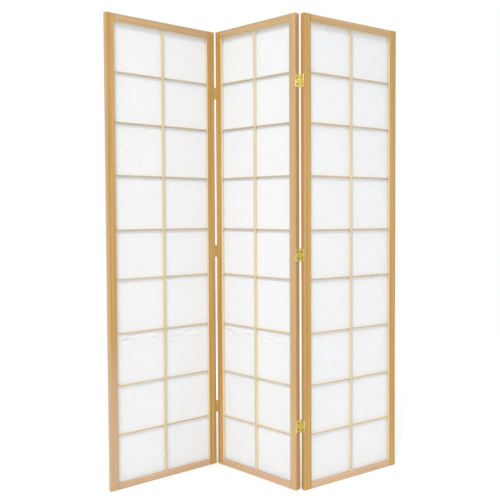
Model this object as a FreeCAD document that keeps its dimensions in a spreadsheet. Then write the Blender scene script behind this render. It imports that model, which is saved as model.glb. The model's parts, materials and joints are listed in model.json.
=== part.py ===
import FreeCAD, Part
import math
import os
import re

# Folding room divider screen: three tall panels in a zigzag, joined by two-way screen hinges.
#
# Frame of the whole part: +Z up, the floor at Z = 0, and the origin under the middle of the
# centre panel.  -Y is the front, where the lattice shows.
# Frame of one panel: x across its width from its left edge, y into its thickness from its
# front face, z up from the floor.  Every piece is built there and then placed with its panel.

# ---------------------------------------------------------------- driving sizes, mm and degrees
SIZES = [
    ("panel_width", 439, "one panel over its two stiles"),
    ("panel_height", 1784, "one panel from the floor to its top"),
    ("panel_thickness", 22, "stiles and rails, front to back"),
    ("stile_width", 32, "upright of the frame, seen from the front"),
    ("top_rail_height", 29, "top rail, seen from the front"),
    ("bottom_rail_height", 22, "bottom rail, seen from the front"),
    ("frame_edge_radius", 2.5, "rounding along stiles and rails"),
    ("end_edge_radius", 1.5, "rounding round the ends of a stile"),
    ("paper_depth", 13.5, "front face of the frame to the front of the paper"),
    ("paper_thickness", 0.5, "one sheet of paper"),
    ("paper_margin", 0.5, "gap between the paper's edge and the rabbet"),
    ("rabbet_width", 8, "ledge behind which the paper is held"),
    ("bead_setback", 0.5, "back of the frame to the back of the beads"),
    ("bar_setback", 3, "front of the frame to the front of the centre bar"),
    ("centre_bar_width", 8, "upright bar of the lattice"),
    ("cross_bar_height", 5.5, "one level bar of the lattice"),
    ("cross_bar_depth", 7, "one level bar, front to back"),
    ("bar_edge_radius", 0.8, "easing of the front edges of the bars"),
    ("bar_housing", 6, "how far a bar is let into the frame"),
    ("middle_row", 186, "pitch of the two bars beside the middle of the panel"),
    ("third_row", 204.5, "pitch of the next two bars out"),
    ("second_row", 198, "pitch of the next two bars out"),
    ("first_row", 187, "pitch of the outermost two bars"),
    ("dowel_radius", 2.5, "dowels that join rails to stiles"),
    ("dowel_reach", 12, "how far a dowel enters each of its two pieces"),
    ("dowel_spacing", 11, "between the two dowels of a joint"),
    ("dowel_depth", 7, "front face to the middle of the dowels"),
    ("hinge_gap", 4, "between two panels that are in line"),
    ("barrel_proud", 1.5, "hinge barrel's axis in front of, or behind, the faces"),
    ("hinge_height", 48, "one hinge"),
    ("hinge_split", 0.6, "gap between the two halves of a hinge"),
    ("hinge_end_height", 245, "panel's end to the middle of its end hinge, before the drop"),
    ("hinge_drop", 3.5, "all of the hinges sit this far below an even spacing"),
    ("leaf_thickness", 1.2, "hinge plate that is screwed to a stile"),
    ("link_thickness", 1, "loose plate that joins the two leaves"),
    ("barrel_clearance", 0.4, "between the edge of a link and the barrels of the leaves"),
    ("knuckle_gap", 0.2, "end play between two knuckles"),
    ("pin_radius", 1, "hinge pin"),
    ("pin_clearance", 0.05, "radial, between a pin and the link it turns in"),
    ("access_radius", 3.6, "hole in a link for the screwdriver"),
    ("screw_spacing", 24, "between the two screws of a leaf"),
    ("screw_head_radius", 3.2, "countersunk head"),
    ("screw_head_height", 1.1, "countersunk head"),
    ("screw_radius", 1.3, "shank"),
    ("screw_length", 14, "over all"),
    ("screw_tip_length", 3, "pointed end"),
    ("screw_tip_radius", 0.2, "blunt end of the point"),
    ("recess_length", 3.8, "arms of the cross recess"),
    ("recess_width", 0.9, "arms of the cross recess"),
    ("recess_depth", 0.8, "arms of the cross recess"),
    ("centre_turn", 38.06, "centre panel, clockwise from the X axis seen from above"),
    ("valley_angle", 103.44, "between the fronts of the left and centre panels"),
    ("ridge_angle", 107.54, "between the backs of the centre and right panels"),
]

PANELS = ("left", "centre", "right")

doc = FreeCAD.newDocument("folding_screen")
sheet = doc.addObject("Spreadsheet::Sheet", "sizes")
for row, (alias, value, meaning) in enumerate(SIZES, 1):
    sheet.set(f"A{row}", alias)
    sheet.set(f"B{row}", str(value))
    sheet.set(f"C{row}", meaning)
    sheet.setAlias(f"B{row}", alias)
doc.recompute()

# ---------------------------------------------------------------- formulas on the sheet's cells
OPENING_LOW = "bottom_rail_height"
OPENING_TOP = "(panel_height - top_rail_height)"
OPENING_HEIGHT = f"({OPENING_TOP} - {OPENING_LOW})"
OPENING_WIDTH = "(panel_width - 2 * stile_width)"
LATTICE_MIDDLE = f"({OPENING_LOW} + {OPENING_HEIGHT} / 2)"
RIGHT_STILE = "(panel_width - stile_width)"
PANEL_MIDDLE = "(panel_width / 2)"
MID_THICKNESS = "(panel_thickness / 2)"
PAPER_BACK = "(paper_depth + paper_thickness)"
CROSS_BAR_FRONT = "(paper_depth - cross_bar_depth)"
LAP_DEPTH = "(cross_bar_depth / 2)"
BAR_OFFSETS = (
    "(middle_row / 2)",
    "(middle_row / 2 + third_row)",
    "(middle_row / 2 + third_row + second_row)",
    "(middle_row / 2 + third_row + second_row + first_row)",
)
BAR_HEIGHTS = [f"({LATTICE_MIDDLE} - {offset})" for offset in reversed(BAR_OFFSETS)]
BAR_HEIGHTS += [f"({LATTICE_MIDDLE} + {offset})" for offset in BAR_OFFSETS]
HINGE_HEIGHTS = (
    "(hinge_end_height - hinge_drop)",
    "(panel_height / 2 - hinge_drop)",
    "(panel_height - hinge_end_height - hinge_drop)",
)
BARREL_RADIUS = "(hinge_gap / 2)"
LEAF_EDGE = f"({BARREL_RADIUS} - barrel_proud)"
LINK_EDGE = f"({LEAF_EDGE} + barrel_clearance)"
HALF_HEIGHT = "((hinge_height - hinge_split) / 2)"
KNUCKLE_LENGTH = f"(({HALF_HEIGHT} - 2 * knuckle_gap) / 3)"
FRONT_BARREL = "(-barrel_proud)"
BACK_BARREL = "(panel_thickness + barrel_proud)"


def size(alias):
    """The number in one cell of the sheet."""
    return float(getattr(sheet, alias))


def bind(item, name, formula):
    """Tie one property of an object to a formula on the sheet's cells."""
    item.setExpression(name, re.sub(r"[a-z][a-z_]+", lambda word: "sizes." + word.group(), formula))


def place(item, x, y, z):
    for axis, formula in zip("xyz", (x, y, z)):
        bind(item, "Placement.Base." + axis, formula)


def block(x, y, z, length, width, height):
    item = doc.addObject("Part::Box", "block")
    for name, formula in zip(("Length", "Width", "Height"), (length, width, height)):
        bind(item, name, formula)
    place(item, x, y, z)
    return item


def rod(x, y, z, radius, height, turn=0):
    """A cylinder that stands up, or that is turned about the Y axis."""
    item = doc.addObject("Part::Cylinder", "rod")
    bind(item, "Radius", radius)
    bind(item, "Height", height)
    item.Placement.Rotation = FreeCAD.Rotation(FreeCAD.Vector(0, 1, 0), turn)
    place(item, x, y, z)
    return item


def cone(x, y, z, first_radius, last_radius, height, turn):
    item = doc.addObject("Part::Cone", "cone")
    bind(item, "Radius1", first_radius)
    bind(item, "Radius2", last_radius)
    bind(item, "Height", height)
    item.Placement.Rotation = FreeCAD.Rotation(FreeCAD.Vector(0, 1, 0), turn)
    place(item, x, y, z)
    return item


def fuse(items):
    item = doc.addObject("Part::MultiFuse", "fused")
    item.Shapes = items
    return item


def cut(base, tools):
    """Base less every tool."""
    item = doc.addObject("Part::Cut", "cut")
    item.Base = base
    item.Tool = tools[0] if len(tools) == 1 else fuse(tools)
    return item


def group(items):
    """Separate solids that share one node."""
    item = doc.addObject("Part::Compound", "group")
    item.Links = items
    return item


def rounded(base, radius_of_edge):
    """Round the edges of a block for which radius_of_edge(x, y, z, direction) gives a radius.

    x, y and z are the edge's middle as shares of the block, 0 at its low side and 1 at its
    high side, and direction is the axis that the edge runs along.
    """
    doc.recompute()
    limits = base.Shape.BoundBox
    item = doc.addObject("Part::Fillet", "rounded")
    item.Base = base
    chosen = []
    for number, edge in enumerate(base.Shape.Edges, 1):
        middle = edge.BoundBox.Center
        x = (middle.x - limits.XMin) / limits.XLength
        y = (middle.y - limits.YMin) / limits.YLength
        z = (middle.z - limits.ZMin) / limits.ZLength
        direction = "xyz"[[round(share, 6) for share in (x, y, z)].index(0.5)]
        radius = radius_of_edge(round(x), round(y), round(z), direction)
        if radius:
            chosen.append((number, radius, radius))
    item.Edges = chosen
    return item


# ---------------------------------------------------------------- where each panel stands
def turned(panel):
    """Turn of a panel about Z, in degrees, anticlockwise from the X axis."""
    fold = {"left": "valley_angle", "right": "ridge_angle"}.get(panel)
    return -size("centre_turn") + (180 - size(fold) if fold else 0)


def standing(panel):
    """Placement that brings a panel's own frame into the frame of the whole part."""
    rotation = FreeCAD.Rotation(FreeCAD.Vector(0, 0, 1), turned(panel))
    left_axis = -size("hinge_gap") / 2
    right_axis = size("panel_width") + size("hinge_gap") / 2
    front_axis = -size("barrel_proud")
    back_axis = size("panel_thickness") + size("barrel_proud")
    if panel == "centre":
        middle = FreeCAD.Vector(size("panel_width") / 2, size("panel_thickness") / 2, 0)
        return FreeCAD.Placement(-rotation.multVec(middle), rotation)
    if panel == "left":
        own_axis = FreeCAD.Vector(right_axis, front_axis, 0)
        shared_axis = FreeCAD.Vector(left_axis, front_axis, 0)
    else:
        own_axis = FreeCAD.Vector(left_axis, back_axis, 0)
        shared_axis = FreeCAD.Vector(right_axis, back_axis, 0)
    fold_axis = standing("centre").multVec(shared_axis)
    return FreeCAD.Placement(fold_axis - rotation.multVec(own_axis), rotation)


nodes = []


def keep(panel, name, item):
    """Name a finished piece and stand it with its panel."""
    item.Label = f"{panel}_{name}"
    item.Placement = standing(panel)
    nodes.append(item)


# ---------------------------------------------------------------- hinge screws
def outward(side, distance, thickness="0"):
    """Low x of something that starts a distance outside a panel's left or right edge."""
    if side == "right":
        return f"(panel_width + {distance})"
    return f"(-({distance}) - ({thickness}))"


def screw_body(side, z):
    """Countersunk screw, driven from the hinge leaf into the stile."""
    inward = -90 if side == "right" else 90
    head = cone(outward(side, "leaf_thickness"), MID_THICKNESS, z, "screw_head_radius",
                "screw_radius", "screw_head_height", inward)
    shank_start = outward(side, "leaf_thickness - screw_head_height")
    shank_length = "(screw_length - screw_head_height - screw_tip_length)"
    shank = rod(shank_start, MID_THICKNESS, z, "screw_radius", shank_length, inward)
    tip = cone(outward(side, "leaf_thickness - screw_length + screw_tip_length"), MID_THICKNESS, z,
               "screw_radius", "screw_tip_radius", "screw_tip_length", inward)
    return fuse([head, shank, tip])


def screw_heights(hinge):
    return (f"({hinge} - screw_spacing / 2)", f"({hinge} + screw_spacing / 2)")


def screw_bodies(side):
    """Every screw of one edge of a panel: they are also the tools that cut their own holes."""
    return [screw_body(side, z) for hinge in HINGE_HEIGHTS for z in screw_heights(hinge)]


def cross_recess(side, z):
    low_x = outward(side, "leaf_thickness - recess_depth", "recess_depth")
    arms = []
    for width, height in (("recess_length", "recess_width"), ("recess_width", "recess_length")):
        arms.append(block(low_x, f"({MID_THICKNESS} - {width} / 2)", f"({z} - {height} / 2)",
                          "recess_depth", width, height))
    return fuse(arms)


def screws(sides):
    finished = []
    for side in sides:
        for hinge in HINGE_HEIGHTS:
            for z in screw_heights(hinge):
                finished.append(cut(screw_body(side, z), [cross_recess(side, z)]))
    return group(finished)


# ---------------------------------------------------------------- two-way screen hinges
# Each hinge has an upper and a lower half.  In the upper half the leaf on a panel's left edge
# has its barrel in front and the leaf on a right edge has it behind; in the lower half it is the
# other way round.  A loose link joins the two barrels of each half, so a pair of panels folds
# about the two front barrels or about the two back barrels.
HALVES = ("upper", "lower")


def leaf_barrel(side, half):
    """y of the barrel that a leaf carries in one half."""
    in_front = (side == "left") == (half == "upper")
    return FRONT_BARREL if in_front else BACK_BARREL


def half_base(hinge, half):
    return f"({hinge} + hinge_split / 2)" if half == "upper" else f"({hinge} - hinge_height / 2)"


def knuckle_base(hinge, half, number):
    return f"({half_base(hinge, half)} + {number} * ({KNUCKLE_LENGTH} + knuckle_gap))"


def barrel_x(side):
    return outward(side, BARREL_RADIUS)


def bore(side, y, hinge, half, radius):
    return rod(barrel_x(side), y, half_base(hinge, half), radius, HALF_HEIGHT)


def leaf(side, hinge, holes):
    """Plate on the end of a panel, with two knuckles of each half rolled from it."""
    flat_x = outward(side, "0", "leaf_thickness")
    solids = [block(flat_x, LEAF_EDGE, f"({hinge} - hinge_height / 2)", "leaf_thickness",
                    f"(panel_thickness - 2 * {LEAF_EDGE})", "hinge_height")]
    for half in HALVES:
        y = leaf_barrel(side, half)
        tab_y = FRONT_BARREL if y == FRONT_BARREL else f"(panel_thickness - {LEAF_EDGE})"
        for number in (0, 2):
            z = knuckle_base(hinge, half, number)
            solids.append(block(flat_x, tab_y, z, "leaf_thickness", BARREL_RADIUS, KNUCKLE_LENGTH))
            solids.append(rod(barrel_x(side), y, z, BARREL_RADIUS, KNUCKLE_LENGTH))
    bores = [bore(side, leaf_barrel(side, half), hinge, half, "pin_radius") for half in HALVES]
    return cut(fuse(solids), bores + holes)


def leaves(sides):
    finished = []
    for side in sides:
        for hinge in HINGE_HEIGHTS:
            holes = [screw_body(side, z) for z in screw_heights(hinge)]
            finished.append(leaf(side, hinge, holes))
    return group(finished)


def link(side, hinge, half):
    """Loose plate in the gap beside a panel's edge, with one knuckle at each of its sides."""
    flat_x = outward(side, "(hinge_gap - link_thickness) / 2", "link_thickness")
    plate = block(flat_x, LINK_EDGE, half_base(hinge, half),
                  "link_thickness", f"(panel_thickness - 2 * {LINK_EDGE})", HALF_HEIGHT)
    knuckle_z = knuckle_base(hinge, half, 1)
    tongue = block(flat_x, FRONT_BARREL, knuckle_z,
                   "link_thickness", "(panel_thickness + 2 * barrel_proud)", KNUCKLE_LENGTH)
    barrels = [rod(barrel_x(side), y, knuckle_z, BARREL_RADIUS, KNUCKLE_LENGTH)
               for y in (FRONT_BARREL, BACK_BARREL)]
    holes = [bore(side, y, hinge, half, "(pin_radius + pin_clearance)")
             for y in (FRONT_BARREL, BACK_BARREL)]
    screw_z = screw_heights(hinge)[HALVES[::-1].index(half)]
    holes.append(rod(outward(side, "0", "hinge_gap"), MID_THICKNESS, screw_z,
                     "access_radius", "hinge_gap", 90))
    return cut(fuse([plate, tongue] + barrels), holes)


def links(sides, half):
    return group([link(side, hinge, half) for side in sides for hinge in HINGE_HEIGHTS])


def pins(sides):
    finished = []
    for side in sides:
        for hinge in HINGE_HEIGHTS:
            for half in HALVES:
                finished.append(bore(side, leaf_barrel(side, half), hinge, half, "pin_radius"))
    return group(finished)


# ---------------------------------------------------------------- dowels
def dowel(joint_x, z):
    return rod(f"({joint_x} - dowel_reach)", "dowel_depth", z, "dowel_radius",
               "(2 * dowel_reach)", 90)


def dowel_heights():
    heights = []
    for middle in ("(bottom_rail_height / 2)", "(panel_height - top_rail_height / 2)"):
        heights += [f"({middle} - dowel_spacing / 2)", f"({middle} + dowel_spacing / 2)"]
    return heights


def dowels_at(joint_x, heights):
    return [dowel(joint_x, z) for z in heights]


# ---------------------------------------------------------------- lattice
def cross_bar_housing(z):
    """Space that one level bar takes, from inside one stile to inside the other."""
    return block("(stile_width - bar_housing)", CROSS_BAR_FRONT, f"({z} - cross_bar_height / 2)",
                 f"({OPENING_WIDTH} + 2 * bar_housing)", "cross_bar_depth", "cross_bar_height")


def centre_bar_housing():
    """Space that the upright bar takes, from inside one rail to inside the other."""
    return block(f"({PANEL_MIDDLE} - centre_bar_width / 2)", "bar_setback",
                 f"({OPENING_LOW} - bar_housing)", "centre_bar_width",
                 "(paper_depth - bar_setback)", f"({OPENING_HEIGHT} + 2 * bar_housing)")


def eased_front(base, along):
    """Ease the two long front edges of a bar."""
    def radius(x, y, z, direction):
        return size("bar_edge_radius") if direction == along and y == 0 else 0
    return rounded(base, radius)


def lap(z, front):
    """Half of the crossing's depth, across the upright bar at one level bar."""
    y = CROSS_BAR_FRONT if front else f"(paper_depth - {LAP_DEPTH})"
    return block(f"({PANEL_MIDDLE} - centre_bar_width / 2)", y, f"({z} - cross_bar_height / 2)",
                 "centre_bar_width", LAP_DEPTH, "cross_bar_height")


def centre_bar():
    return cut(eased_front(centre_bar_housing(), "z"), [lap(z, False) for z in BAR_HEIGHTS])


def cross_bar(z):
    return cut(eased_front(cross_bar_housing(z), "x"), [lap(z, True)])


# ---------------------------------------------------------------- frame
def rabbet():
    """Stepped space behind the opening for the paper and its beads."""
    return block("(stile_width - rabbet_width)", "paper_depth", f"({OPENING_LOW} - rabbet_width)",
                 f"({OPENING_WIDTH} + 2 * rabbet_width)", "(panel_thickness - paper_depth)",
                 f"({OPENING_HEIGHT} + 2 * rabbet_width)")


def stile(side, hinged):
    x = "0" if side == "left" else RIGHT_STILE
    base = block(x, "0", "0", "stile_width", "panel_thickness", "panel_height")
    outer = 0 if side == "left" else 1

    def radius(x, y, z, direction):
        inner_edge = x == 1 - outer
        if direction == "z":
            return 0 if inner_edge and y == 1 else size("frame_edge_radius")
        if direction == "y" and inner_edge:
            return 0
        return size("end_edge_radius")

    joint_x = "stile_width" if side == "left" else RIGHT_STILE
    tools = [rabbet()] + [cross_bar_housing(z) for z in BAR_HEIGHTS]
    tools += dowels_at(joint_x, dowel_heights())
    if hinged:
        tools += screw_bodies(side)
    return cut(rounded(base, radius), tools)


def rail(end):
    low_z, height = {"bottom": ("0", "bottom_rail_height"),
                     "top": (OPENING_TOP, "top_rail_height")}[end]
    base = block("stile_width", "0", low_z, OPENING_WIDTH, "panel_thickness", height)
    opening_side = 1 if end == "bottom" else 0

    def radius(x, y, z, direction):
        if direction != "x" or (y == 1 and z == opening_side):
            return 0
        return size("frame_edge_radius")

    heights = dowel_heights()[:2] if end == "bottom" else dowel_heights()[2:]
    tools = [rabbet(), centre_bar_housing()]
    tools += dowels_at("stile_width", heights) + dowels_at(RIGHT_STILE, heights)
    return cut(rounded(base, radius), tools)


# ---------------------------------------------------------------- paper and what holds it
def paper():
    reach = "(rabbet_width - paper_margin)"
    return group([block(f"(stile_width - {reach})", "paper_depth", f"({OPENING_LOW} - {reach})",
                        f"({OPENING_WIDTH} + 2 * {reach})", "paper_thickness",
                        f"({OPENING_HEIGHT} + 2 * {reach})")])


def back_beads():
    """Two long strips and, between them, two short ones, flush with the opening."""
    depth = f"(panel_thickness - bead_setback - {PAPER_BACK})"
    strips = []
    for x in ("(stile_width - rabbet_width)", RIGHT_STILE):
        strips.append(block(x, PAPER_BACK, f"({OPENING_LOW} - rabbet_width)", "rabbet_width",
                            depth, f"({OPENING_HEIGHT} + 2 * rabbet_width)"))
    for z in (f"({OPENING_LOW} - rabbet_width)", OPENING_TOP):
        strips.append(block("stile_width", PAPER_BACK, z, OPENING_WIDTH, depth, "rabbet_width"))
    return group(strips)


# ---------------------------------------------------------------- the three panels
HINGED_SIDES = {"left": ("right",), "centre": ("left", "right"), "right": ("left",)}
LINK_HALF = {"left": "upper", "centre": "lower", "right": "upper"}

for panel in PANELS:
    sides = HINGED_SIDES[panel]
    for side in ("left", "right"):
        keep(panel, f"{side}_stile", stile(side, side in sides))
    for end in ("top", "bottom"):
        keep(panel, f"{end}_rail", rail(end))
    keep(panel, "centre_bar", centre_bar())
    for number, bar_z in enumerate(BAR_HEIGHTS, 1):
        keep(panel, f"cross_bar_{number}", cross_bar(bar_z))
    keep(panel, "paper", paper())
    keep(panel, "back_beads", back_beads())
    keep(panel, "dowels", group(dowels_at("stile_width", dowel_heights())
                                + dowels_at(RIGHT_STILE, dowel_heights())))
    keep(panel, "hinge_leaves", leaves(sides))
    keep(panel, "hinge_links", links(sides, LINK_HALF[panel]))
    keep(panel, "hinge_pins", pins(sides))
    keep(panel, "hinge_screws", screws(sides))

doc.recompute()

# ---------------------------------------------------------------- check and write
for item in doc.Objects:
    if "Invalid" in item.State or "Error" in item.State:
        raise RuntimeError(f"{item.Name} ({item.Label}) failed: {item.State}")
for item in nodes:
    if item.Shape.isNull() or not item.Shape.isValid() or not item.Shape.Solids:
        raise RuntimeError(f"{item.Label} has no valid solid")

os.makedirs("parts", exist_ok=True)
for item in nodes:
    item.Shape.exportStep(f"parts/{item.Label}.step")

for fold, corner in (("valley", FreeCAD.Vector(-size("hinge_gap") / 2, -size("barrel_proud"), 0)),
                     ("ridge", FreeCAD.Vector(size("panel_width") + size("hinge_gap") / 2,
                                              size("panel_thickness") + size("barrel_proud"), 0))):
    axis = standing("centre").multVec(corner)
    print(f"{fold} fold axis at x {axis.x:.4f}, y {axis.y:.4f}")
for panel in PANELS:
    foot = FreeCAD.Vector(size("panel_width") / 2, size("panel_thickness") / 2, 0)
    base_middle = standing(panel).multVec(foot)
    print(f"{panel} base middle at x {base_middle.x:.4f}, y {base_middle.y:.4f}, turn {turned(panel):.2f}")
volume = sum(item.Shape.Volume for item in nodes)
print(f"{len(nodes)} nodes, {sum(len(item.Shape.Solids) for item in nodes)} solids, {volume / 1e6:.3f} litres")
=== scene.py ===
# %% [markdown]
# # A folding room divider, dressed and lit
#
# The screen is three tall wooden frames in a zigzag, each with a lattice in front of a sheet of
# white fibre paper, joined by brass hinges that can fold either way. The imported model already
# holds every stick, dowel and hinge plate at its true size and place, so it is loaded as a fixed
# frame and keeps its shape. What is left for this lesson is the grain and lacquer of the wood,
# the shine of the brass, three sheets of real paper in place of the model's flat slabs, and a
# bright, soft studio.

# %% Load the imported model
import json
import math

import bmesh
import bpy
from mathutils import Matrix, Vector, noise


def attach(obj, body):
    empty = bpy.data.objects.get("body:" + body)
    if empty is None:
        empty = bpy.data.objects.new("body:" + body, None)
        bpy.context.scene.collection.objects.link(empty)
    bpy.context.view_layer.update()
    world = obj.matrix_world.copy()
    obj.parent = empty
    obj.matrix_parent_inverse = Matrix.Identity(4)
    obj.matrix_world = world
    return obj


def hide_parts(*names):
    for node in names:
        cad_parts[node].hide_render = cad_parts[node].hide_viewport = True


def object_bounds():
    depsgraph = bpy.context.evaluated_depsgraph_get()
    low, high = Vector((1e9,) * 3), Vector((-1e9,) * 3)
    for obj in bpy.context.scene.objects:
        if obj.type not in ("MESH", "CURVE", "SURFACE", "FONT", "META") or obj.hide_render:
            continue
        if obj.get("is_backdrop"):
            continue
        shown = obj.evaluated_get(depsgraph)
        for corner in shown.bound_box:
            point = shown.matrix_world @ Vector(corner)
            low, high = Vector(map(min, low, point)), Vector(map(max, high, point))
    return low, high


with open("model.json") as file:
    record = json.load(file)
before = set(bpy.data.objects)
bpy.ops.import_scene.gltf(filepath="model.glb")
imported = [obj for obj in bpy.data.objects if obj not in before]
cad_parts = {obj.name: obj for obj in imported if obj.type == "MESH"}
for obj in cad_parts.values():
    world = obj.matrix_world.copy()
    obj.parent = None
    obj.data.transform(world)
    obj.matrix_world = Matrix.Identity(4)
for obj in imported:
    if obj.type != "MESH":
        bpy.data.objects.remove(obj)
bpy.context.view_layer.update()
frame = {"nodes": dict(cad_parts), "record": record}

# %% [markdown]
# ## The camera
#
# The screen is seen from 2.5 m in front, from just above its middle and a third of a metre to
# the right of it. The camera could be turned towards the screen to bring it into the middle of
# the frame, but then one side would be drawn taller than the other. A view camera slides its
# lens instead, so the lens is shifted across and a little down. The small turn and dip that are
# left set how the uprights lean and how fast the rails run towards each other.

# %% Place the camera
CAMERA_PLACE = Vector((0.3292, -2.5049, 1.0501))
CAMERA_DIP = math.radians(1.858)
CAMERA_TURN = math.radians(-0.691)
FOCAL_LENGTH_IN_FRAMES = 1.2701
LENS_SHIFT_ACROSS = -0.1945
LENS_SHIFT_UP = -0.0351
SENSOR_WIDTH = 36.0

camera_data = bpy.data.cameras.new("camera")
camera_data.sensor_width = SENSOR_WIDTH
camera_data.lens = SENSOR_WIDTH * FOCAL_LENGTH_IN_FRAMES
camera_data.shift_x = LENS_SHIFT_ACROSS
camera_data.shift_y = LENS_SHIFT_UP
camera = bpy.data.objects.new("camera", camera_data)
camera.location = CAMERA_PLACE
camera.rotation_euler = (math.pi / 2 - CAMERA_DIP, 0, CAMERA_TURN)
bpy.context.scene.collection.objects.link(camera)
bpy.context.scene.camera = camera
print("lens", round(camera_data.lens, 1), "mm")

# %% [markdown]
# ## Where each panel stands
#
# Grain has to run along each stick, and the paper has to lie in its frame, so every panel needs
# its own directions. The record gives the middle of each panel's foot. The angle that the panel
# stands at could be typed in, but it would go stale when the model changes, so it is measured on
# a level bar: the bar's corners spread furthest along the panel, and the angle of greatest
# spread follows from the sums of their products, as in a line fitted through points.

# %% Find the three panels
PANELS = ("left", "centre", "right")
mounts = {mount["name"]: Vector(mount["pos_m"]) for mount in frame["record"]["mounts"]}


def turn_of(node):
    """Angle about Z of the longest direction of a CAD node."""
    points = [vertex.co.xy for vertex in frame["nodes"][node].data.vertices]
    middle = sum(points, Vector((0, 0))) / len(points)
    spread_x = sum((point.x - middle.x) ** 2 for point in points)
    spread_y = sum((point.y - middle.y) ** 2 for point in points)
    shared = sum((point.x - middle.x) * (point.y - middle.y) for point in points)
    return math.atan2(2 * shared, spread_x - spread_y) / 2


foot = {panel: mounts[panel + "_base"] for panel in PANELS}
turn = {panel: turn_of(panel + "_cross_bar_1") for panel in PANELS}
for panel in PANELS:
    print(panel, "panel turned", round(math.degrees(turn[panel]), 2), "degrees")

# %% [markdown]
# ## A panel's own directions
#
# Seen from its own foot every panel is alike: X runs along it, Y through its thickness and Z up.
# One matrix stands the panel in the room, and its inverse leads back. With it, the box round a
# stick says which of its sides faces the opening and where a bar begins and ends. The sizes
# could be copied from the drawing instead, but read from the model they are right for any size.

# %% Measure in a panel's own directions
stand = {panel: Matrix.Translation(foot[panel]) @ Matrix.Rotation(turn[panel], 4, "Z")
         for panel in PANELS}


def own_box(node):
    """Lowest and highest corners of a CAD node in its own panel's directions."""
    back = stand[node.split("_")[0]].inverted()
    points = [back @ vertex.co for vertex in frame["nodes"][node].data.vertices]
    low = Vector([min(point[axis] for point in points) for axis in range(3)])
    high = Vector([max(point[axis] for point in points) for axis in range(3)])
    return low, high


low, high = own_box("left_paper")
print("the left paper is", round(high.x - low.x, 3), "by", round(high.z - low.z, 3), "m")

# %% [markdown]
# ## Shader maths as plain expressions
#
# A wood or brass finish is a small calculation on coordinates. It could be wired up a node at a
# time, but then nobody can read the calculation. Wrapping a socket in a class with the usual
# operators lets it be written as one expression, and each operator adds the Math node that it
# stands for. The forms with a number first are there too, so that 1 - mask works. A Math node
# would turn a colour grey, so colours are blended by mix.

# %% A socket that can be calculated with
class Signal:
    """A number, vector or colour that changes over a surface."""

    def __init__(self, tree, socket):
        self.tree = tree
        self.socket = socket

    def node(self, kind, settings=None, output=0, **values):
        return add_node(self.tree, kind, settings, output, **values)

    def math(self, operation, *others):
        names = {f"in{number}": value for number, value in enumerate((self, *others))}
        return self.node("ShaderNodeMath", {"operation": operation}, **names)

    def __add__(self, other):
        return self.math("ADD", other)

    __radd__ = __add__

    def __sub__(self, other):
        return self.math("SUBTRACT", other)

    def __rsub__(self, other):
        return (self * -1) + other

    def __mul__(self, other):
        return self.math("MULTIPLY", other)

    __rmul__ = __mul__

    def __truediv__(self, other):
        return self.math("DIVIDE", other)

    def __pow__(self, other):
        return self.math("POWER", other)

    def clamped(self):
        return self.node("ShaderNodeClamp", in0=self)

    def between(self, low, high):
        """0 below low, 1 above high, and a smooth step from one to the other."""
        return self.node("ShaderNodeMapRange", {"interpolation_type": "SMOOTHSTEP"},
                         in0=self, in1=low, in2=high)

    def mix(self, first, second):
        """first where this is 0, second where this is 1, for colours."""
        return self.node("ShaderNodeMix", {"data_type": "RGBA"}, output=2,
                         in0=self, in6=first, in7=second)

    def parts(self):
        """The X, Y and Z of a vector."""
        split = self.node("ShaderNodeSeparateXYZ", in0=self).socket.node
        return [Signal(self.tree, socket) for socket in split.outputs]


print("signals can be added, subtracted, multiplied, divided, raised to a power and mixed")

# %% [markdown]
# ### One way to add a node
#
# Every node but a material's output comes from one function, which takes its type, its settings,
# and the values or links of its sockets. A socket goes by its number, as in0, or by its name with
# an underline for each space. A function for each type would read a little better, but this one
# is enough for all of them. The settings are made first, because they can change the sockets.

# %% Add nodes, and open and close a finish
def add_node(tree, kind, settings=None, output=0, **values):
    """A node whose sockets are filled by number (in0) or by name (Base_Color)."""
    made = tree.nodes.new(kind)
    for name, setting in (settings or {}).items():
        setattr(made, name, setting)
    for name, value in values.items():
        key = int(name[2:]) if name[:2] == "in" and name[2:].isdigit() else name.replace("_", " ")
        if isinstance(value, Signal):
            tree.links.new(value.socket, made.inputs[key])
        else:
            made.inputs[key].default_value = value
    return Signal(tree, made.outputs[output])


def new_finish(name):
    """An empty material and its node tree."""
    finish = bpy.data.materials.new(name)
    finish.use_nodes = True
    finish.node_tree.nodes.clear()
    return finish, finish.node_tree


def close_finish(tree, shader):
    """Make a shader the surface of its material."""
    surface = tree.nodes.new("ShaderNodeOutputMaterial")
    tree.links.new(shader.socket, surface.inputs["Surface"])


print("finishes can be opened and closed")

# %% [markdown]
# ### Places and clouds
#
# A pattern has to stay with its piece when the panels fold. Object coordinates do, because every
# piece lies at the origin with its place in its mesh, and a fold moves the whole object. They
# are turned into the panel's own directions by a Mapping node. Soft noise at such a place is
# solid, so it runs round a corner without a seam, which a flat pattern on each side would not.

# %% Find a place on a piece and a cloud at it
def vector(tree, x, y, z):
    return add_node(tree, "ShaderNodeCombineXYZ", in0=x, in1=y, in2=z)


def cloud(tree, place, scale, detail=2.0, roughness=0.5, warp=0.0):
    """Soft noise from 0 to 1 at a place."""
    return add_node(tree, "ShaderNodeTexNoise", {"noise_dimensions": "3D"}, Vector=place,
                    Scale=scale, Detail=detail, Roughness=roughness, Distortion=warp)


def own_place(tree, panel):
    """Object coordinates turned into a panel's own directions."""
    raw = add_node(tree, "ShaderNodeTexCoord", output=3)
    return add_node(tree, "ShaderNodeMapping", {"vector_type": "TEXTURE"}, Vector=raw,
                    Location=foot[panel], Rotation=(0, 0, turn[panel]))


print("places are read in the directions of", len(foot), "panels")

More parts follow.
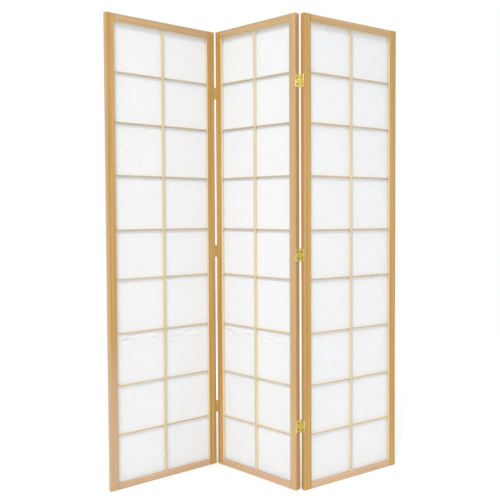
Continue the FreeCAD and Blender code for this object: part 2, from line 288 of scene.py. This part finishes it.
# %% [markdown]
# ## Wood with grain
#
# The sticks are a pale softwood under a clear satin lacquer that has turned honey yellow. The
# figure could be laid on each side of a stick, but it would break at the corners, so it is grown
# as a solid that a saw cuts through. Each stick is another cut of the tree: its seed moves it
# along the trunk, and a little across it, so that no two sticks look alike.

# %% Cut a stick from the tree
CUT_ALONG = 2.193
CUT_ACROSS = 0.02
CUT_DEPTH = 0.01
ACROSS_STEP = 12.9
DEPTH_STEP = 7.7


def stick_places(tree, panel, along, seed):
    """Coordinates along the grain and across it, moved to this stick's own cut of the tree."""
    x, y, z = own_place(tree, panel).parts()
    lengthwise, across = (z, x) if along == "z" else (x, z)
    shift_across = CUT_ACROSS * math.sin(seed * ACROSS_STEP)
    shift_depth = CUT_DEPTH * math.cos(seed * DEPTH_STEP)
    return lengthwise + seed * CUT_ALONG, across + shift_across, y + shift_depth


def stretched_cloud(tree, places, fineness, stretch, detail=1.0):
    """Noise with fineness cells a metre across the grain and stretch cells a metre along it."""
    lengthwise, across, depth = places
    place = vector(tree, across * fineness, depth * fineness, lengthwise * stretch)
    return cloud(tree, place, 1.0, detail=detail)


print("cuts lie", CUT_ALONG, "m apart along the trunk")

# %% [markdown]
# ### Growth rings
#
# Rings are cylinders round the heart of the tree, which lies some way outside the stick and
# nearly in line with it. So they show as long, slightly wandering lines on the faces and as arcs
# on the ends. The Wave texture can draw rings too, but not with a profile of one's own. Real wood
# darkens slowly over a year's growth and then drops back at once, so the rings are worked out
# from the distance to the heart, of which only the fraction of a ring is kept.

# %% Grow the rings
RING_SPACING = 0.0034
HEART_ACROSS = 0.048
HEART_DEPTH = 0.02
RINGS_OF_WANDER = 6.0
RINGS_OF_FINE_WANDER = 1.1
DARKENS_OVER = (0.30, 0.88)
DROPS_OVER = (0.90, 1.0)


def growth_rings(tree, places):
    """Dark late wood, 1 at the end of each ring, fading back over the ring."""
    lengthwise, across, depth = places
    wander = stretched_cloud(tree, places, fineness=9, stretch=1.1, detail=3.0)
    fine_wander = stretched_cloud(tree, places, fineness=40, stretch=3.0)
    from_heart = ((across + HEART_ACROSS) ** 2 + (depth + HEART_DEPTH) ** 2) ** 0.5
    bent = from_heart / RING_SPACING + wander * RINGS_OF_WANDER
    ring = (bent + fine_wander * RINGS_OF_FINE_WANDER).math("FRACT")
    return ring.between(*DARKENS_OVER) * (1 - ring.between(*DROPS_OVER))


print("a stick lies about", round(HEART_ACROSS / RING_SPACING), "rings from the heart")

# %% [markdown]
# ### Tones
#
# No two sticks come from the same board. The uprights are mostly honey coloured, the top rails a
# tan and the bottom rails a rosy one, and the middle panel's right upright is pink. The thin
# lattice bars are planed from whiter wood: the upright one is pale, the level ones a little
# grey. One colour for each would look painted, so a tone is a pair, and a slow cloud stretched
# along the stick blends from one to the other.

# %% Mix the tones
TONES = {
    "honey": ((0.440, 0.246, 0.052, 1), (0.480, 0.295, 0.098, 1)),
    "tan": ((0.400, 0.246, 0.110, 1), (0.465, 0.310, 0.170, 1)),
    "pink": ((0.500, 0.325, 0.165, 1), (0.580, 0.395, 0.230, 1)),
    "rose": ((0.490, 0.325, 0.195, 1), (0.570, 0.395, 0.268, 1)),
    "pale": ((0.600, 0.530, 0.350, 1), (0.660, 0.590, 0.415, 1)),
    "grey": ((0.460, 0.410, 0.305, 1), (0.540, 0.480, 0.365, 1)),
    "beech": ((0.560, 0.370, 0.200, 1), (0.600, 0.400, 0.240, 1)),
}
LATE_WOOD = (0.37, 0.180, 0.046, 1)
EARLY_WOOD = (0.64, 0.440, 0.200, 1)
STREAK_SHOWS = 0.52
RING_SHOWS = 0.30
RING_SHOWS_ON_FIBRE = 0.38
PORE_SHOWS = 0.30


def wood_colour(tree, places, tone, pinkness):
    """Base colour, with how strongly fibre, pore and late wood show there."""
    first, second = TONES[tone]
    slow = stretched_cloud(tree, places, fineness=14, stretch=2.6, detail=2.0)
    streak = stretched_cloud(tree, places, fineness=130, stretch=1.3, detail=2.0)
    fibre = stretched_cloud(tree, places, fineness=900, stretch=16, detail=3.0)
    pore = stretched_cloud(tree, places, fineness=2400, stretch=60).between(0.62, 0.78)
    late = growth_rings(tree, places)
    patch = (slow + (pinkness - 0.5) * 0.5).between(0.32, 0.68)
    base = patch.mix(first, second)
    lightened = (streak.between(0.40, 0.70) * STREAK_SHOWS).mix(base, EARLY_WOOD)
    ringed = (late * (RING_SHOWS + fibre * RING_SHOWS_ON_FIBRE)).mix(lightened, LATE_WOOD)
    return (pore * PORE_SHOWS).mix(ringed, LATE_WOOD), fibre, pore, late


print(len(TONES), "tones of wood mixed")

# %% [markdown]
# ### Painted light on inner sides, painted shade on outer edges, and a pink foot
#
# Light that the paper bounces back is painted into the faces that look into the opening: those
# of the uprights and the top rail are painted pale, and so are the flanks of the upright bar and
# the lit tops of the level ones. Shade is painted onto the outer edges of a panel, which turn
# amber. The far left upright has a lighter tan edge instead, which is painted light, and it turns
# pink towards its foot. Each side could have a material on its own faces, but the model's faces
# are loose triangles, so a side is found by its distance from a flat plane.

# %% Colour the sides of a stick
# Painted light: the pale colour below stands for light that the paper bounces onto inner faces.
PAINTED_LIGHT_WOOD = (0.760, 0.655, 0.430, 1)
# The next two colours are painted shade on a panel's outer edges and painted light on the far left
# one.
PAINTED_SHADE_EDGE = (0.450, 0.245, 0.072, 1)
PAINTED_LIT_EDGE = (0.470, 0.305, 0.150, 1)
PINK_FOOT = (0.515, 0.345, 0.220, 1)
PAINTED_LIGHT_DEPTH = (0.0003, 0.0011)
PAINTED_EDGE_DEPTH = (0.0008, 0.0024)
PAINTED_EDGE_COLOURS = {"left_left_stile": PAINTED_LIT_EDGE}
FOOT_TURNS_PINK = {"left_left_stile": (0.35, 0.62)}
X_AXIS, Z_AXIS = 0, 2


def distance_inwards(tree, panel, axis, plane, inwards):
    """How far a place is inside the wood from one flat side of a stick."""
    return (own_place(tree, panel).parts()[axis] - plane) * inwards


def with_pink_foot(tree, name, panel, colour, late):
    height = own_place(tree, panel).parts()[Z_AXIS]
    foot_share = 1 - height.between(*FOOT_TURNS_PINK[name])
    return (foot_share * (0.85 - late * 0.3)).mix(colour, PINK_FOOT)


# Paints shade onto a panel's outer edge, or light onto the far left upright's edge.
def with_painted_edge_shading(tree, name, panel, colour, fibre, outer):
    edge = 1 - distance_inwards(tree, panel, *outer).between(*PAINTED_EDGE_DEPTH)
    return (edge * (0.80 - fibre * 0.2)).mix(colour, PAINTED_EDGE_COLOURS.get(name, PAINTED_SHADE_EDGE))


# Paints light onto the wood close to one flat side of a stick.
def with_painted_light_side(tree, panel, colour, fibre, side):
    painted_light = 1 - distance_inwards(tree, panel, *side).between(*PAINTED_LIGHT_DEPTH)
    return (painted_light * (0.92 - fibre * 0.15)).mix(colour, PAINTED_LIGHT_WOOD)


# The painted light fades out over this depth from a side.
print("bare sides fade out", PAINTED_LIGHT_DEPTH[1] * 1000, "mm into the wood")

# %% [markdown]
# ### The lacquer
#
# Satin lacquer is a thin clear coat over wood that is a little rough. It could be a second
# shader on top, but the Principled shader has a coat of its own. The wood under it is rougher in
# the pores, which are lower too, and the hard late wood stands up slightly. The bump draws only
# that fine relief, because the softened corners are real rounded edges in the model.

# %% Finish one stick
COAT_WEIGHT = 0.18
COAT_ROUGHNESS = 0.28
WOOD_IOR = 1.5


def wood_finish(name, panel, along, seed, tone="honey", pinkness=0.2, painted_light_sides=(), outer=None):
    """Lacquered wood with its grain along "x" or "z" of a panel."""
    finish, tree = new_finish(name)
    places = stick_places(tree, panel, along, seed)
    colour, fibre, pore, late = wood_colour(tree, places, tone, pinkness)
    if name in FOOT_TURNS_PINK:
        colour = with_pink_foot(tree, name, panel, colour, late)
    # Painted shade, or painted light, on the panel's outer edge.
    if outer:
        colour = with_painted_edge_shading(tree, name, panel, colour, fibre, outer)
    # Painted light on each side that faces the opening, or faces up on a level bar.
    for side in painted_light_sides:
        colour = with_painted_light_side(tree, panel, colour, fibre, side)
    rough = 0.40 + fibre * 0.12 + pore * 0.12 - late * 0.05
    relief = fibre * 0.35 - pore * 0.55 + late * 0.25
    bump = add_node(tree, "ShaderNodeBump", Height=relief, Strength=0.25, Distance=0.0003)
    shader = add_node(tree, "ShaderNodeBsdfPrincipled", Base_Color=colour, Roughness=rough,
                      Normal=bump, Coat_Weight=COAT_WEIGHT, Coat_Roughness=COAT_ROUGHNESS,
                      IOR=WOOD_IOR)
    close_finish(tree, shader)
    return finish


def dress(piece, finish):
    """Give a piece one finish over all of its faces."""
    piece.data.materials.clear()
    piece.data.materials.append(finish)


print("a lacquered finish can be made and put on any stick")

# %% [markdown]
# ## The frames
#
# A panel's frame is two uprights over the full height, with a rail between them at the top and
# the bottom, and each stick has a cut of its own. The seeds could be drawn at random, but a
# stick's place in one list does as well, and gives the same screen every time.

# %% Number the sticks
CROSS_BARS = [f"cross_bar_{number}" for number in range(1, 9)]
STICKS = ["left_stile", "right_stile", "top_rail", "bottom_rail", "centre_bar"] + CROSS_BARS
sticks = [f"{panel}_{part}" for panel in PANELS for part in STICKS]
seed_of = {stick: number for number, stick in enumerate(sticks, start=1)}
print(len(sticks), "sticks numbered")

# %% [markdown]
# ### The uprights
#
# An upright's grain runs up. One side looks into the opening and gets painted light, the other
# is the edge of the panel, which gets painted shade. Which is which could be written down for each
# upright, but it follows from the side of the panel that the upright is on.

# %% Dress the uprights
PINKNESS = {"left_left_stile": 0.2, "right_right_stile": 0.05}
USUAL_PINKNESS = 0.15
STICK_TONES = {"centre_right_stile": "pink"}

for panel in PANELS:
    for part, inwards in (("left_stile", -1), ("right_stile", 1)):
        node = f"{panel}_{part}"
        low, high = own_box(node)
        inner_side, outer_side = (high.x, low.x) if inwards < 0 else (low.x, high.x)
        # Painted light on the inner side, painted shade on the outer edge.
        dress(frame["nodes"][node],
              wood_finish(node, panel, "z", seed_of[node], tone=STICK_TONES.get(node, "honey"),
                          pinkness=PINKNESS.get(node, USUAL_PINKNESS),
                          painted_light_sides=[(X_AXIS, inner_side, inwards)],
                          outer=(X_AXIS, outer_side, -inwards)))
print("uprights", round((high.x - low.x) * 1000, 1), "mm wide dressed")

# %% [markdown]
# ### The rails
#
# A rail's grain runs along the panel. Only the top rail's underside gets painted light, for light
# bounced up by the paper. A rail lies between the uprights, so it has no outer edge to paint with
# shade, and the same function finishes it with that part left out.

# %% Dress the rails
RAIL_PINKNESS = 0.6

for panel in PANELS:
    for part, tone in (("top_rail", "tan"), ("bottom_rail", "rose")):
        node = f"{panel}_{part}"
        underside = own_box(node)[0].z
        painted_light_sides = [(Z_AXIS, underside, 1)] if part == "top_rail" else []
        dress(frame["nodes"][node],
              wood_finish(node, panel, "x", seed_of[node], tone=tone, pinkness=RAIL_PINKNESS,
                          painted_light_sides=painted_light_sides))
print(len(PANELS) * 2, "rails dressed")

# %% [markdown]
# ## The lattice
#
# One thin bar stands in the middle of each opening, and eight level ones are halved into it from
# behind. They could share one finish, but then they would look cut from one board, one above the
# other. Each keeps its own seed and its own balance of the two tones.

# %% Dress the lattice bars
for panel in PANELS:
    for part in ["centre_bar"] + CROSS_BARS:
        node = f"{panel}_{part}"
        seed = seed_of[node]
        low, high = own_box(node)
        # The upright bar's flanks and the level bars' tops get painted light.
        if part == "centre_bar":
            along, tone = "z", "pale"
            painted_light_sides = [(X_AXIS, low.x, 1), (X_AXIS, high.x, -1)]
        else:
            along, tone = "x", "grey"
            painted_light_sides = [(Z_AXIS, high.z, -1)]
        dress(frame["nodes"][node],
              wood_finish(node, panel, along, seed, tone=tone,
                          pinkness=math.sin(seed) * 0.5 + 0.5, painted_light_sides=painted_light_sides))
print(len(PANELS) * (1 + len(CROSS_BARS)), "lattice bars dressed")

# %% [markdown]
# ## Paper
#
# Behind each lattice one sheet of long-fibred white paper is glued to the bars and caught under
# the beads. Paper that was damp when it was glued dries tight but never quite flat: each pane
# keeps a shallow swell that dies away to nothing at the bars. A cloth simulation would find such
# a shape too, but slowly, so each point of a fine grid is moved by soft noise instead, faded out
# towards the nearest bar or frame edge.

# %% Measure how free the paper is
GLUE_MARGIN = 0.035


def fade(distance, reach):
    """0 at a glued edge, 1 once well away from it."""
    share = max(0.0, min(1.0, distance / reach))
    return share * share * (3 - 2 * share)


def distance_to_bars(value, bars):
    """How far a coordinate is from the nearest of several bars, each a low and a high edge."""
    return min(max(low - value, value - high, 0.0) for low, high in bars)


def edges_of(panel, parts, axis):
    """Low and high edges of some of a panel's sticks along one of its directions."""
    boxes = [own_box(f"{panel}_{part}") for part in parts]
    return [(low[axis], high[axis]) for low, high in boxes]


print("10 mm from a bar the paper is", round(fade(0.010, GLUE_MARGIN), 2), "free")

# %% [markdown]
# ### A bar that has let go
#
# Under the third bar of the left and the middle panel the glue has let go a little, and the
# paper ripples there over a few centimetres. The ripples could be folds drawn one by one. Noise
# with cells that are wide and low gives the same kind of shallow, level folds, and the fade at
# both ends joins them to the flat sheet.

# %% Let the paper sag
SAG = 0.0085
SAG_SIZE = Vector((0.044, 1, 0.014))
SAG_REACH = 0.065
SAG_STARTS_OVER = 0.010
SAG_MIDDLE = 0.25
SAGGING_UNDER = {"left": "cross_bar_3", "centre": "cross_bar_3"}


def sag(bar_bottom, place, free):
    """Ripples just under the one bar whose glue has let go a little, 0 elsewhere."""
    if bar_bottom is None:
        return 0.0
    under = bar_bottom - place.z
    if not 0 < under < SAG_REACH:
        return 0.0
    strength = fade(under, SAG_STARTS_OVER) * (1 - fade(under, SAG_REACH)) * free
    ripple = noise.noise(Vector([place[axis] / SAG_SIZE[axis] for axis in range(3)]))
    return SAG * strength * (ripple - SAG_MIDDLE)


print(len(SAGGING_UNDER), "sheets ripple over", SAG_REACH * 1000, "mm under a bar")

# %% [markdown]
# ### A flat sheet
#
# The sheet starts as a grid, is stretched to the size of the paper in the model, and is stood up
# in the panel's own directions, where across and up are plain coordinates. One large face would
# do for paper that is flat. Cells of 5 mm are fine enough to carry its swell and its ripples.

# %% Cut a flat sheet
PAPER_CELL = 0.005


def flat_sheet(low, high):
    """A grid stood up in the middle of the box between two corners."""
    width, height = high.x - low.x, high.z - low.z
    sheet = bmesh.new()
    bmesh.ops.create_grid(sheet, x_segments=round(width / PAPER_CELL),
                          y_segments=round(height / PAPER_CELL), size=0.5)
    bmesh.ops.scale(sheet, vec=(width, height, 1), verts=sheet.verts)
    bmesh.ops.rotate(sheet, matrix=Matrix.Rotation(math.pi / 2, 3, "X"), verts=sheet.verts)
    bmesh.ops.translate(sheet, vec=(low + high) / 2, verts=sheet.verts)
    return sheet


print("a sheet is a grid of", PAPER_CELL * 1000, "mm cells")

# %% [markdown]
# ### The swell
#
# Each point moves out of the flat sheet by less than a millimetre. A Displace modifier could push
# it, but not by how far it is from a bar. The noise has three layers, each twice as fine as the
# last, so that no pane looks blown up like a cushion, and every sheet reads another part of it.

# %% Swell a sheet
SWELL = 0.0009
SWELL_SIZE = 0.085
LAYER_FADE = 0.7
LAYER_FINENESS = 2.0
LAYERS = 3
NEXT_SHEET = 5.3


def swell_sheet(sheet, panel):
    """Move each point as far as the glue round its pane lets it."""
    upright_bars = edges_of(panel, ["left_stile", "centre_bar", "right_stile"], X_AXIS)
    level_bars = edges_of(panel, ["bottom_rail", "top_rail"] + CROSS_BARS, Z_AXIS)
    loose_bar = SAGGING_UNDER.get(panel)
    bar_bottom = own_box(f"{panel}_{loose_bar}")[0].z if loose_bar else None
    shift = Vector((PANELS.index(panel) * NEXT_SHEET, 0, 0))
    for vertex in sheet.verts:
        free_across = fade(distance_to_bars(vertex.co.x, upright_bars), GLUE_MARGIN)
        free = free_across * fade(distance_to_bars(vertex.co.z, level_bars), GLUE_MARGIN)
        swell = SWELL * free * noise.fractal(vertex.co / SWELL_SIZE + shift, LAYER_FADE,
                                             LAYER_FINENESS, LAYERS)
        vertex.co.y += swell + sag(bar_bottom, vertex.co, free_across)


print("a free pane swells by about", SWELL * 1000, "mm")

# %% [markdown]
# ### A sheet as a piece
#
# Only once its points have been moved is the sheet turned to where its panel stands. The real
# paper is a quarter of a millimetre thick. A second layer of faces could be made in the mesh, but
# a Solidify modifier adds it evenly on both sides and closes the edges.

# %% Make a sheet a piece
PAPER_THICKNESS = 0.00025


def paper_sheet(panel):
    """A panel's sheet as a piece of its own, with its flat width and height."""
    low, high = own_box(panel + "_paper")
    sheet = flat_sheet(low, high)
    swell_sheet(sheet, panel)
    bmesh.ops.transform(sheet, matrix=stand[panel], verts=sheet.verts)
    for face in sheet.faces:
        face.smooth = True
    data = bpy.data.meshes.new(panel + "_paper_sheet")
    sheet.to_mesh(data)
    sheet.free()
    piece = bpy.data.objects.new(panel + "_paper_sheet", data)
    bpy.context.scene.collection.objects.link(piece)
    thicken = piece.modifiers.new("thickness", "SOLIDIFY")
    thicken.thickness = PAPER_THICKNESS
    thicken.offset = 0
    return piece, high.x - low.x, high.z - low.z


print("the paper is", PAPER_THICKNESS * 1000, "mm thick")

# %% [markdown]
# ### Paper finish
#
# The paper is matt and a cool white, with long fibres in it every way. The fibres could be thin
# curves, but there are thousands, so they are bands cut from warped noise: each is a place where
# the noise is close to one level. Paper also lets some light through, so the lattice shows
# faintly from behind. Transmission would do that as frosted glass does, so a Translucent shader
# is mixed in instead, which scatters the light every way as paper does.

# %% Grow the paper finish
PAPER_WHITE = (0.858, 0.862, 0.870, 1)
FIBRE_WHITE = (0.940, 0.942, 0.945, 1)
PAPER_SHADE = (0.815, 0.820, 0.830, 1)
LIGHT_THROUGH = 0.3
FIBRE_SHOWS = 0.45
FIBRE_WIDTH = (0.004, 0.02)


def fibres(tree, place, scale, turn_of_fibres):
    """Thin wandering lines, 1 on a fibre."""
    turned = add_node(tree, "ShaderNodeMapping", Vector=place, Rotation=turn_of_fibres,
                      Scale=(scale, scale, scale * 0.35))
    level = cloud(tree, turned, 1.0, detail=1.0, warp=1.4)
    return 1 - (level - 0.5).math("ABSOLUTE").between(*FIBRE_WIDTH)


def paper_finish(panel):
    """Matt white paper that lets some light through."""
    finish, tree = new_finish(panel + "_paper")
    place = own_place(tree, panel)
    long_fibres = fibres(tree, place, 60, (0.4, 0.9, 0.2))
    cross_fibres = fibres(tree, place, 95, (0.1, -0.7, 0.6))
    pulp = cloud(tree, place, 85.0, detail=4.0, roughness=0.65)
    mottled = pulp.between(0.25, 0.75).mix(PAPER_SHADE, PAPER_WHITE)
    on_fibre = (long_fibres + cross_fibres).clamped() * FIBRE_SHOWS
    colour = on_fibre.mix(mottled, FIBRE_WHITE)
    relief = pulp * 0.5 + long_fibres * 0.6 + cross_fibres * 0.4
    bump = add_node(tree, "ShaderNodeBump", Height=relief, Strength=0.16, Distance=0.0004)
    front = add_node(tree, "ShaderNodeBsdfPrincipled", Base_Color=colour, Roughness=0.85,
                     Normal=bump, Specular_IOR_Level=0.25)
    through = add_node(tree, "ShaderNodeBsdfTranslucent", Color=PAPER_WHITE, Normal=bump)
    both = add_node(tree, "ShaderNodeMixShader", in0=LIGHT_THROUGH, in1=front, in2=through)
    close_finish(tree, both)
    return finish


print("the paper lets", LIGHT_THROUGH, "of its light through")

# %% [markdown]
# ### Laying the sheets
#
# The model's paper is a flat slab that only gives the panel its weight and its collision shape,
# so the new sheet takes its place. It rides on the panel, as paper glued to a frame does, and its
# flat width and height are printed.

# %% Lay the sheets
for panel in PANELS:
    piece, width, height = paper_sheet(panel)
    dress(piece, paper_finish(panel))
    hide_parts(panel + "_paper")
    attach(piece, panel + "_panel")
    print(panel, "paper", round(width, 4), "by", round(height, 4), "m")

# %% [markdown]
# ## Brass
#
# The hinges are pressed from brass sheet and tumbled until they shine. A polished yellow would
# do from afar, but brass is a metal, so its colour is the colour of its reflections. Tumbling
# leaves fine scratches every way, and handling dulls it in soft patches, so the roughness
# wanders and the colour browns where it is dull. Lower down, shade is painted in as a browner,
# rougher finish, so the middle and lower hinges look duller still. The screws are darker than the
# plates.

# %% Grow the brass finish
BRASS = (0.93, 0.83, 0.42, 1)
DULL_BRASS = (0.70, 0.58, 0.22, 1)
# The screws are coloured much darker than the plates.
SCREW_BROWN = (0.24, 0.18, 0.05, 1)
DARK_SCREW = (0.13, 0.095, 0.025, 1)
PAINTED_SHADE_BELOW = (1.0, 1.45)
LOW_PAINTED_SHADE = 0.45


def brass_finish(name, panel, roughness, dullness, bright=BRASS, dark=DULL_BRASS):
    """Tumbled brass with dull patches, and painted shade that browns it low down."""
    finish, tree = new_finish(name)
    place = own_place(tree, panel)
    cloudy = cloud(tree, place, 130.0, detail=3.0, roughness=0.6)
    scratch = cloud(tree, place, 1800.0, detail=2.0, warp=2.0)
    # Painted shade: the brass browns further below this height.
    lower_shade = 1 - place.parts()[Z_AXIS].between(*PAINTED_SHADE_BELOW)
    dull_and_shade = (cloudy.between(0.42, 0.72) * dullness + lower_shade * LOW_PAINTED_SHADE).clamped()
    colour = dull_and_shade.mix(bright, dark)
    rough = roughness + dull_and_shade * 0.22 + scratch * 0.08
    bump = add_node(tree, "ShaderNodeBump", Height=scratch, Strength=0.12, Distance=0.0001)
    shader = add_node(tree, "ShaderNodeBsdfPrincipled", Base_Color=colour, Metallic=1.0,
                      Roughness=rough, Normal=bump)
    close_finish(tree, shader)
    return finish


# Painted shade browns the brass from the first height down to the second.
print("brass dulls from", PAINTED_SHADE_BELOW[1], "m down to", PAINTED_SHADE_BELOW[0], "m")

# %% [markdown]
# ### The hinges
#
# Each hinge is two leaves, screwed to the panels' edges, with two loose links between them and a
# pin through each of its four barrels. They could all have one finish, but links and pins rub
# against each other and the leaves' faces don't, so each kind has its own roughness and dullness.

# %% Dress the hinges
for panel in PANELS:
    for part, roughness, dullness in (("leaves", 0.24, 0.6), ("links", 0.22, 0.5), ("pins", 0.3, 0.7)):
        node = f"{panel}_hinge_{part}"
        dress(frame["nodes"][node], brass_finish(node, panel, roughness, dullness))
    node = f"{panel}_hinge_screws"
    dress(frame["nodes"][node], brass_finish(node, panel, 0.38, 0.9, SCREW_BROWN, DARK_SCREW))
print(len(PANELS) * 4, "brass pieces dressed")

# %% [markdown]
# ## Beads and dowels
#
# Four strips hold the paper in from behind. They run both ways in one node, so one finish has to
# turn its grain with them: a place outside the opening's half width is on an upright strip, one
# inside it on a level strip. Cutting the node in two would do it too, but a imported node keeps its
# mesh. The strips have no lacquer, so their finish has no coat.

# %% Finish the beads
def bead_finish(panel, seed):
    """Pale wood whose grain runs up the upright strips and along the level ones."""
    name = panel + "_back_beads"
    finish, tree = new_finish(name)
    x, y, z = own_place(tree, panel).parts()
    half_opening = own_box(panel + "_right_stile")[0].x
    level = 1 - x.math("ABSOLUTE").math("GREATER_THAN", half_opening)
    lengthwise = x * level + z * (1 - level) + seed * CUT_ALONG
    across = z * level + x * (1 - level)
    colour, fibre, pore, late = wood_colour(tree, (lengthwise, across, y), "pale", 0.4)
    relief = fibre * 0.4 - pore * 0.5 + late * 0.2
    bump = add_node(tree, "ShaderNodeBump", Height=relief, Strength=0.25, Distance=0.0003)
    shader = add_node(tree, "ShaderNodeBsdfPrincipled", Base_Color=colour, Normal=bump,
                      Roughness=0.48 + fibre * 0.12 + pore * 0.1, IOR=WOOD_IOR)
    close_finish(tree, shader)
    return finish


print("the grain of the beads turns", round(own_box("left_right_stile")[0].x, 4), "m from the middle")

# %% [markdown]
# ### Beads and dowels in place
#
# The dowels are plain beech and sit inside the joints, where nobody sees them. They could be left
# as they come, but the lacquered finish with another tone costs one line, and a panel taken apart
# then looks right too.

# %% Dress the beads and the dowels
seed = len(sticks)
for panel in PANELS:
    seed += 2
    dress(frame["nodes"][panel + "_back_beads"], bead_finish(panel, seed))
    node = panel + "_dowels"
    dress(frame["nodes"][node], wood_finish(node, panel, "x", seed + 1, tone="beech"))
print(len(PANELS), "sets of beads and dowels dressed")

# %% [markdown]
# ## The studio
#
# The screen stands in even white light from all round, a little stronger from overhead, as in a
# room with white walls and a lit ceiling. Many lamps could give that, but a white world does it
# with no lamp to be mirrored in the brass. The view transform is the plain one, so that white
# stays white.

# %% Light the room
HORIZON_STRENGTH = 1.0
OVERHEAD_EXTRA = 0.3
BRIGHTENS_OVER = (0.45, 0.90)

world = bpy.data.worlds.new("studio")
world.use_nodes = True
sky = world.node_tree.nodes["Background"]
sky.inputs["Color"].default_value = (1, 1, 1, 1)
height = add_node(world.node_tree, "ShaderNodeTexCoord", output=0).parts()[Z_AXIS]
strength = HORIZON_STRENGTH + height.between(*BRIGHTENS_OVER) * OVERHEAD_EXTRA
world.node_tree.links.new(strength.socket, sky.inputs["Strength"])
bpy.context.scene.world = world
bpy.context.scene.view_settings.view_transform = "Standard"
print("light from", HORIZON_STRENGTH, "level to", HORIZON_STRENGTH + OVERHEAD_EXTRA, "overhead")

# %% [markdown]
# ### The lamp
#
# One softbox hangs in front and high up. Its light throws a faint shadow line from each rail and
# bar onto the paper below. A bare softbox would light the whole screen alike. This one has a
# grid, which keeps its light in a narrow cone, so the middle rows are the brightest and the top
# and bottom fall off a little. The spread of an area lamp is that grid.

# %% Hang the lamp
LAMP_POWER = 7.0
LAMP_PLACE = Vector((-0.8, -4.2, 6.2))
LAMP_SIZE = 1.3
LAMP_SPREAD = math.radians(28)
LAMP_AIM = Vector((-0.1, 0, 0.70))

lamp_data = bpy.data.lights.new("softbox", "AREA")
lamp_data.energy = LAMP_POWER
lamp_data.size = LAMP_SIZE
lamp_data.spread = LAMP_SPREAD
lamp = bpy.data.objects.new("softbox", lamp_data)
lamp.location = LAMP_PLACE
lamp.rotation_euler = (LAMP_AIM - LAMP_PLACE).to_track_quat("-Z", "Y").to_euler()
bpy.context.scene.collection.objects.link(lamp)
print("the lamp hangs", round((LAMP_AIM - LAMP_PLACE).length, 2), "m from where it points")

# %% [markdown]
# ### The floor
#
# The floor is one wide white sheet that runs out of sight. A curved backdrop is the usual way to
# hide the line where floor and wall meet, but against a white world a white floor has no such
# line. It is staged, so it stays when the panels fold and is no part of the screen.

# %% Lay the floor
FLOOR_REACH = 30.0
FLOOR_WHITE = (0.88, 0.88, 0.88, 1)

floor_mesh = bmesh.new()
bmesh.ops.create_grid(floor_mesh, x_segments=1, y_segments=1, size=FLOOR_REACH)
floor_data = bpy.data.meshes.new("floor")
floor_mesh.to_mesh(floor_data)
floor_mesh.free()
floor = bpy.data.objects.new("floor", floor_data)
bpy.context.scene.collection.objects.link(floor)
floor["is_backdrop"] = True
floor_finish, floor_tree = new_finish("white_floor")
floor_shader = add_node(floor_tree, "ShaderNodeBsdfDiffuse", Color=FLOOR_WHITE)
close_finish(floor_tree, floor_shader)
dress(floor, floor_finish)
print("the floor reaches", FLOOR_REACH, "m each way")

# %% [markdown]
# ## Finish
#
# The box of the finished screen is printed.

# %% Print the box and finish
low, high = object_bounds()
print("visual box", [round(value, 4) for value in high - low])
